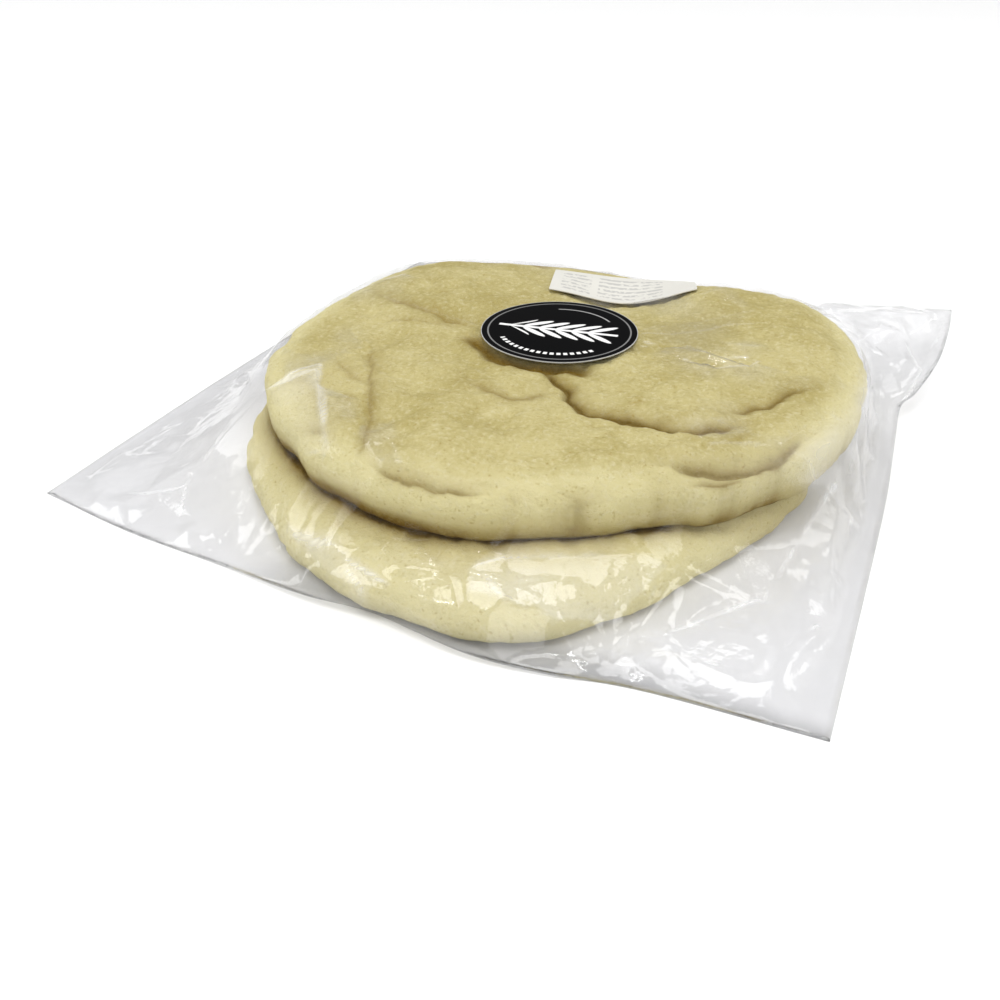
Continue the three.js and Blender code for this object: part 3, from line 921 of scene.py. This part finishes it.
def stiff_places(x, y):
    """1 under the stiff seal and label, where the film can't crinkle."""
    held = 1 - smoothstep(past_seal(x, y), -1, 3)
    along, across = label_axes(x, y)
    outside = np.maximum(np.abs(along) - LABEL_LENGTH / 2, np.abs(across) - LABEL_DEPTH / 2)
    return np.maximum(held, 1 - smoothstep(outside, -1, 3))


def edge_distance(count):
    """How far each film point lies from the bag's sides, and from its front and back."""
    step = BAG_SIZE / (count - 1)
    inward = np.minimum(np.arange(count), np.arange(count)[::-1]) * step
    return inward[:, None] + np.zeros((count, count)), inward[None] + np.zeros((count, count))


def upper_film():
    """The film over the breads, held level under the seal and label and welded at the sides."""
    shape = outline_patch(OVER_CELLS + 1)
    x, y, edge = shape[..., 0], shape[..., 1], shape[..., 2]
    free = read_map(film_map(), x, y)
    held = upper_top(x, y, inside_by(UPPER, x, y)) - 0.1
    height = mix(free, held, stiff_places(x, y))
    side, end = edge_distance(OVER_CELLS + 1)
    ease = 7 + 9 * np.clip(0.5 + 0.5 * ripple(x, y, 30, 8), 0, 1)
    opened = smoothstep(side, SEAM_WIDTH, SEAM_WIDTH + ease) * smoothstep(end, -2, ease)
    welded = edge + 0.05 + 0.3 * smoothstep(end, 0, 4) + 0.1 * (height - edge)
    height = mix(welded, height, opened)
    height = np.maximum(height, bread_cover(x, y) + FILM_CLEAR - COVER_DROP)
    shape[1:-1, 1:-1, 2] = np.maximum(height, 0.3)[1:-1, 1:-1]
    return shape


def lower_film():
    """The underside: flat under the breads, lifted at the raised corner, finely creased."""
    shape = outline_patch(UNDER_CELLS + 1)
    x, y = shape[..., 0], shape[..., 1]
    angle, away = from_middle(UPPER, x, y)
    start = np.maximum(outline_radius(UPPER, angle), around(angle, LOWER_REACH))
    out = np.clip((away - start) / np.maximum(around(angle, REACH) - start, 1), 0, 1)
    lifted = around(angle, REACH_HEIGHT) * out ** 2
    crease = read_map(np.abs(crinkle(UNDER_SPACING, CRINKLE_LOW, 41)), x, y)
    slack = smoothstep(out, 0.02, 0.3) * smoothstep(1 - out, 0, 0.1)
    inner = lifted + 0.1 + np.minimum(crease, 0.9) * slack
    shape[1:-1, 1:-1, 2] = inner[1:-1, 1:-1]
    return shape


def pouch(name, over, under):
    """One closed skin from a fine upper grid and a coarser lower one that shares its edge."""
    ratio = OVER_CELLS // UNDER_CELLS
    fine = np.arange(over.shape[0] * over.shape[1]).reshape(over.shape[:2])
    coarse = fine.size + np.arange(under.shape[0] * under.shape[1]).reshape(under.shape[:2])
    edge = fine[::ratio, ::ratio]
    coarse[[0, -1], :] = edge[[0, -1], :]
    coarse[:, [0, -1]] = edge[:, [0, -1]]
    corners = (fine[:-1, :-1], fine[1:, :-1], fine[1:, 1:], fine[:-1, 1:])
    faces = np.stack([corner.ravel() for corner in corners], 1).tolist()
    last = UNDER_CELLS - 1
    for i in range(UNDER_CELLS):
        for j in range(UNDER_CELLS):
            x, y = i * ratio, j * ratio
            ring = [coarse[i, j]]
            ring += fine[x, y + 1:y + ratio].tolist() if i == 0 else []
            ring += [coarse[i, j + 1]]
            ring += fine[x + 1:x + ratio, -1].tolist() if j == last else []
            ring += [coarse[i + 1, j + 1]]
            ring += fine[-1, y + ratio - 1:y:-1].tolist() if i == last else []
            ring += [coarse[i + 1, j]]
            ring += fine[x + ratio - 1:x:-1, 0].tolist() if j == 0 else []
            faces.append([int(corner) for corner in ring])
    piece = mesh_piece(name, np.vstack([over.reshape(-1, 3), under.reshape(-1, 3)]), faces)
    cleaner = bmesh.new()
    cleaner.from_mesh(piece.data)
    bmesh.ops.delete(cleaner, geom=[v for v in cleaner.verts if not v.link_faces], context="VERTS")
    cleaner.to_mesh(piece.data)
    cleaner.free()
    return piece


def film_paint():
    """Thin clear film: it mirrors, greys what is behind it and is milky in places, with painted reflections
    in patches and painted highlights along creases.
    """
    paint = Paint("clear_film")
    free = paint.attribute("free")
    long_ridges = (paint.noise(13, 2) - 0.5).size()
    short_ridges = (paint.noise(4.5, 2) - 0.5).size()
    normal = paint.bump((long_ridges + short_ridges * 0.5) * (0.2 + free * 0.8), 0.55)
    facing = Field(paint, paint.node("LayerWeight", {"Blend": 0.5, "Normal": normal}).outputs["Facing"])
    square = CLING_MIRROR + (FILM_MIRROR - CLING_MIRROR) * free
    mirror = square + (0.1 + 0.9 * free) * facing ** 5
    gloss = paint.surface((1, 1, 1, 1), 0.13, {"Metallic": 1.0, "Normal": normal})
    haze_and_painted_reflection = paint.surface(colour(250, 250, 250), 0.5, {"Normal": normal})
    single = paint.node("BsdfTransparent", {"Color": (0.93, 0.93, 0.935, 1)}).outputs[0]
    double = paint.node("BsdfTransparent", {"Color": (0.78, 0.78, 0.785, 1)}).outputs[0]
    clear = paint.node("MixShader", {0: paint.attribute("double"), 1: single, 2: double})
    cloud = paint.noise(22, 1).ramp(0.4, 0.75)
    # The white share holds the film's haze, the painted reflection patches and the painted highlight lines
    # along its creases.
    haze = 0.004 + (0.026 + cloud * 0.03) * free + paint.attribute("haze_and_painted_reflection") * (0.75 + cloud * 0.5)
    # Painted highlight: white lines along the hard creases.
    painted_glint = paint.attribute("ridge") * paint.noise(16, 1).ramp(0.4, 0.55) * RIDGE_HIGHLIGHT
    dull = paint.node("MixShader", {0: haze + painted_glint, 1: clear.outputs[0], 2: haze_and_painted_reflection})
    shader = paint.node("MixShader", {0: mirror, 1: dull.outputs[0], 2: gloss})
    return paint.finish(shader.outputs[0])


film = pouch("film_bag", upper_film(), lower_film())
film_x, film_y, film_z = drawing_points(film).T
stands_for_the_bag(film)
inside_upper = inside_by(UPPER, film_x, film_y)
over_gap = gauss(inside_upper + 4, 7) * smoothstep(-film_y, 20, 50)
film_free = smoothstep(film_z - bread_cover(film_x, film_y), *CLING_GAP)
film_free = np.maximum(film_free, smoothstep(-inside_upper, 4, 11))
add_attribute(film, "free", film_free * (1 - 0.95 * over_gap))
haze_and_painted_reflection = VEIL_WHITE * gauss(inside_upper + 0.5, VEIL_WIDTH) * smoothstep(film_y, -70, -30)
# Painted reflection: the film is whiter inside these patches, where its flat facets would mirror the lamps.
for white, outline in PAINTED_REFLECTION_PATCHES:
    within = within_outline(outline, film_x, film_y)
    haze_and_painted_reflection = np.maximum(haze_and_painted_reflection, white * smoothstep(within, -0.6, 0.9) * (film_z > ON_TOP))
add_attribute(film, "haze_and_painted_reflection", haze_and_painted_reflection * (1 - 0.9 * over_gap))
# Painted highlight: white lines along the higher creases, where the film would glint.
ridge = 0 * film_x
for crease in CREASES:
    line = np.array(crease)
    hard = np.clip(line[:, 2].mean() - 0.7, 0, 1)
    ridge = np.maximum(ridge, hard * gauss(distance_to_line(line[:, :2], film_x, film_y), RIDGE_WIDTH))
add_attribute(film, "ridge", ridge * (film_z > ON_TOP) * (1 - 0.9 * over_gap))

# In its slack front corner the film lies nearly double and looks greyer.
front_slack = smoothstep(-film_z, -9, -3) * smoothstep(-film_y, 108, 118) * smoothstep(film_x, -50, -10)
add_attribute(film, "double", front_slack)
coat(film, film_paint())


# ---- Seal ----------------------------------------------------------------------------
# A round sticker of black gloss paper, pressed onto the film over the upper bread. Its
# print is a generic wheat ear between thin rings.

SEAL_TURN = math.radians(10)
GRAIN_PITCH = 6.0  # spacing of the grains along the ear
GRAIN_PLACE = 4.0  # how far their middles lie beside the stem
GRAIN_HALF = (2.0, 3.5)  # half their width and half their length
GRAIN_LEAN = 1.25  # how far they lean back for each millimetre beside it
EAR_HALF = 16.5  # half the length that the grains take up
STEM_HALF = 22.0
DASH_ROUND = 21.6  # radius on which the dashes stand
DASH_MIDDLE = 96  # and the middle of their row, in degrees
ARC_ROUND = 20.4
ARC_MIDDLE = -70
HOOP_ROUND = 25.9

seal_paint = Paint("seal_gloss_paper")
along, across = seal_paint.plane(SEAL_PLACE, SEAL_TURN)
side = across.size()
slide = along - side * GRAIN_LEAN
cell = ((slide + EAR_HALF) * (1 / GRAIN_PITCH)).fraction() - 0.5
thin = cell * (GRAIN_PITCH / GRAIN_HALF[0])
grain = thin ** 2 + ((side - GRAIN_PLACE) * (1 / GRAIN_HALF[1])) ** 2
ear = grain.ramp(1.12, 0.9) * (slide + 2.5).within(EAR_HALF, 0.1)
stem = side.ramp(0.95, 0.7) * (along + 0.5).within(STEM_HALF)
reach = (along ** 2 + across ** 2) ** 0.5
heading = (across * -1).turn_from(along) * (180 / math.pi)
dash = ((heading * 0.16).fraction() - 0.5).size().ramp(0.34, 0.26)
dashes = dash * (reach - DASH_ROUND).size().ramp(1.0, 0.7) * (heading - DASH_MIDDLE).size().ramp(52, 51)
arc = (reach - ARC_ROUND).size().ramp(0.4, 0.2) * (heading - ARC_MIDDLE).size().ramp(34, 32) * 0.45
hoop = (reach - HOOP_ROUND).size().ramp(0.35, 0.2) * 0.25
cut_edge = reach.ramp(SEAL_RADIUS - 0.4, SEAL_RADIUS - 0.15) * 0.6
print_share = ear.either(stem).either(dashes).either(arc).either(hoop).either(cut_edge)
inked = seal_paint.blend(print_share, colour(4, 4, 5), colour(236, 236, 234))
seal_shader = seal_paint.surface(inked, 0.45, {"Specular IOR Level": 0.02})
coat(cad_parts["seal"], seal_paint.finish(seal_shader))


# ---- Label ---------------------------------------------------------------------------
# A white thermal paper label on the film behind the seal, printed with rows of grey.

ROW_PITCH = 3.6  # spacing of the printed rows
ROWS_HALF = 10.4  # half the depth that they fill
LEFT_BLOCK = (-19, 6.0)  # where the two blocks of print stand, and half their width
RIGHT_BLOCK = (3, 13.0)

label_paint = Paint("label_thermal_paper")
along, across = label_paint.plane(LABEL_PLACE, LABEL_TURN)
row = ((across * (1 / ROW_PITCH)).fraction() - 0.5).size().ramp(0.32, 0.2)
breaks = label_paint.noise(2.2, 2, 0.6).ramp(0.42, 0.5)
left, right = ((along - middle).within(half) for middle, half in (LEFT_BLOCK, RIGHT_BLOCK))
printed = (across - 0.5).within(ROWS_HALF) * left.either(right)
ink = row * breaks * printed * 0.4
inked = label_paint.blend(ink, colour(216, 214, 206), colour(124, 122, 126))
coat(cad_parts["label"], label_paint.finish(label_paint.surface(inked, 0.55)))


# ---- Floor, lights and camera --------------------------------------------------------
# A pale sweep under soft lamps, and the camera above the bag's front right corner.

FLOOR_HALF = 3.0  # metres, as are the places and sizes of the lamps

floor_mesh = bpy.data.meshes.new("floor")
floor_corners = [(FLOOR_HALF * x, FLOOR_HALF * y, 0) for x, y in ((-1, -1), (1, -1), (1, 1), (-1, 1))]
floor_mesh.from_pydata(floor_corners, [], [(0, 1, 2, 3)])
floor = bpy.data.objects.new("floor", floor_mesh)
bpy.context.scene.collection.objects.link(floor)
floor_paint = Paint("pale_floor")
coat(floor, floor_paint.finish(floor_paint.surface((0.9, 0.9, 0.9, 1), 0.9)))


LAMPS = (  # name, place, width and depth, watts
    ("overhead_softbox", (0.15, -0.25, 2.8), (2.0, 1.6), 38),
    ("front_softbox", (2.0, -2.1, 1.7), (3.0, 2.2), 39),
    ("right_softbox", (2.4, 1.3, 1.8), (1.4, 1.4), 18),
    ("left_softbox", (-2.3, -1.1, 1.5), (1.4, 1.6), 24),
    ("sparkle_lamp", (-0.7, -1.5, 3.0), (0.7, 0.06), 7),
    ("back_sparkle_lamp", (-0.9, 2.2, 2.9), (0.5, 0.05), 3),
)


def area_lamp(name, place, size, power):
    """A flat lamp that shines at the frame's origin."""
    lamp = bpy.data.lights.new(name, "AREA")
    lamp.shape = "RECTANGLE"
    lamp.size, lamp.size_y = size
    lamp.energy = power
    holder = bpy.data.objects.new(name, lamp)
    holder.location = place
    holder.rotation_euler = (-Vector(place)).to_track_quat("-Z", "Y").to_euler()
    bpy.context.scene.collection.objects.link(holder)


for lamp in LAMPS:
    area_lamp(*lamp)

LOBES = (  # direction, cosine of the angle at which the glow begins, strength
    ((-0.45, 0.75, 0.92), 0.91, 0.8),
    ((0.55, 0.72, 0.42), 0.90, 0.5),
    ((-0.75, 0.1, 0.65), 0.88, 0.5),
)
WORLD_LEVEL = 0.36  # the even grey of the studio's walls

sky = Paint("studio", "worlds", "Generated")


def sky_lobe(direction, start, strength):
    """A soft bright patch on the studio's walls."""
    values = {0: sky.place, 1: tuple(Vector(direction).normalized())}
    cosine = Field(sky, sky.node("VectorMath", values, operation="DOT_PRODUCT").outputs["Value"])
    return cosine.ramp(start, 1.0) * strength


glow = sum((sky_lobe(*lobe) for lobe in LOBES), WORLD_LEVEL)
background = sky.node("Background", {"Color": (1, 1, 1, 1), "Strength": glow})
sky.node("OutputWorld", {"Surface": background.outputs[0]})
bpy.context.scene.world = sky.owner
bpy.context.scene.view_settings.view_transform = "Standard"

CAMERA_PLACE = np.array([129.5, -304.0, 190.0])  # in drawing millimetres
CAMERA_TILT = math.radians(55.5)  # from straight down
CAMERA_TURN = math.radians(25.5)  # to the left of the bag's depth
CAMERA_LENS = 36
SENSOR_WIDTH = 36

camera_data = bpy.data.cameras.new("camera")
camera_data.lens = CAMERA_LENS
camera_data.sensor_width = SENSOR_WIDTH
camera = bpy.data.objects.new("camera", camera_data)
camera.location = (CAMERA_PLACE + ORIGIN) * MM
camera.rotation_euler = (CAMERA_TILT, 0, CAMERA_TURN)
bpy.context.scene.collection.objects.link(camera)
bpy.context.scene.camera = camera
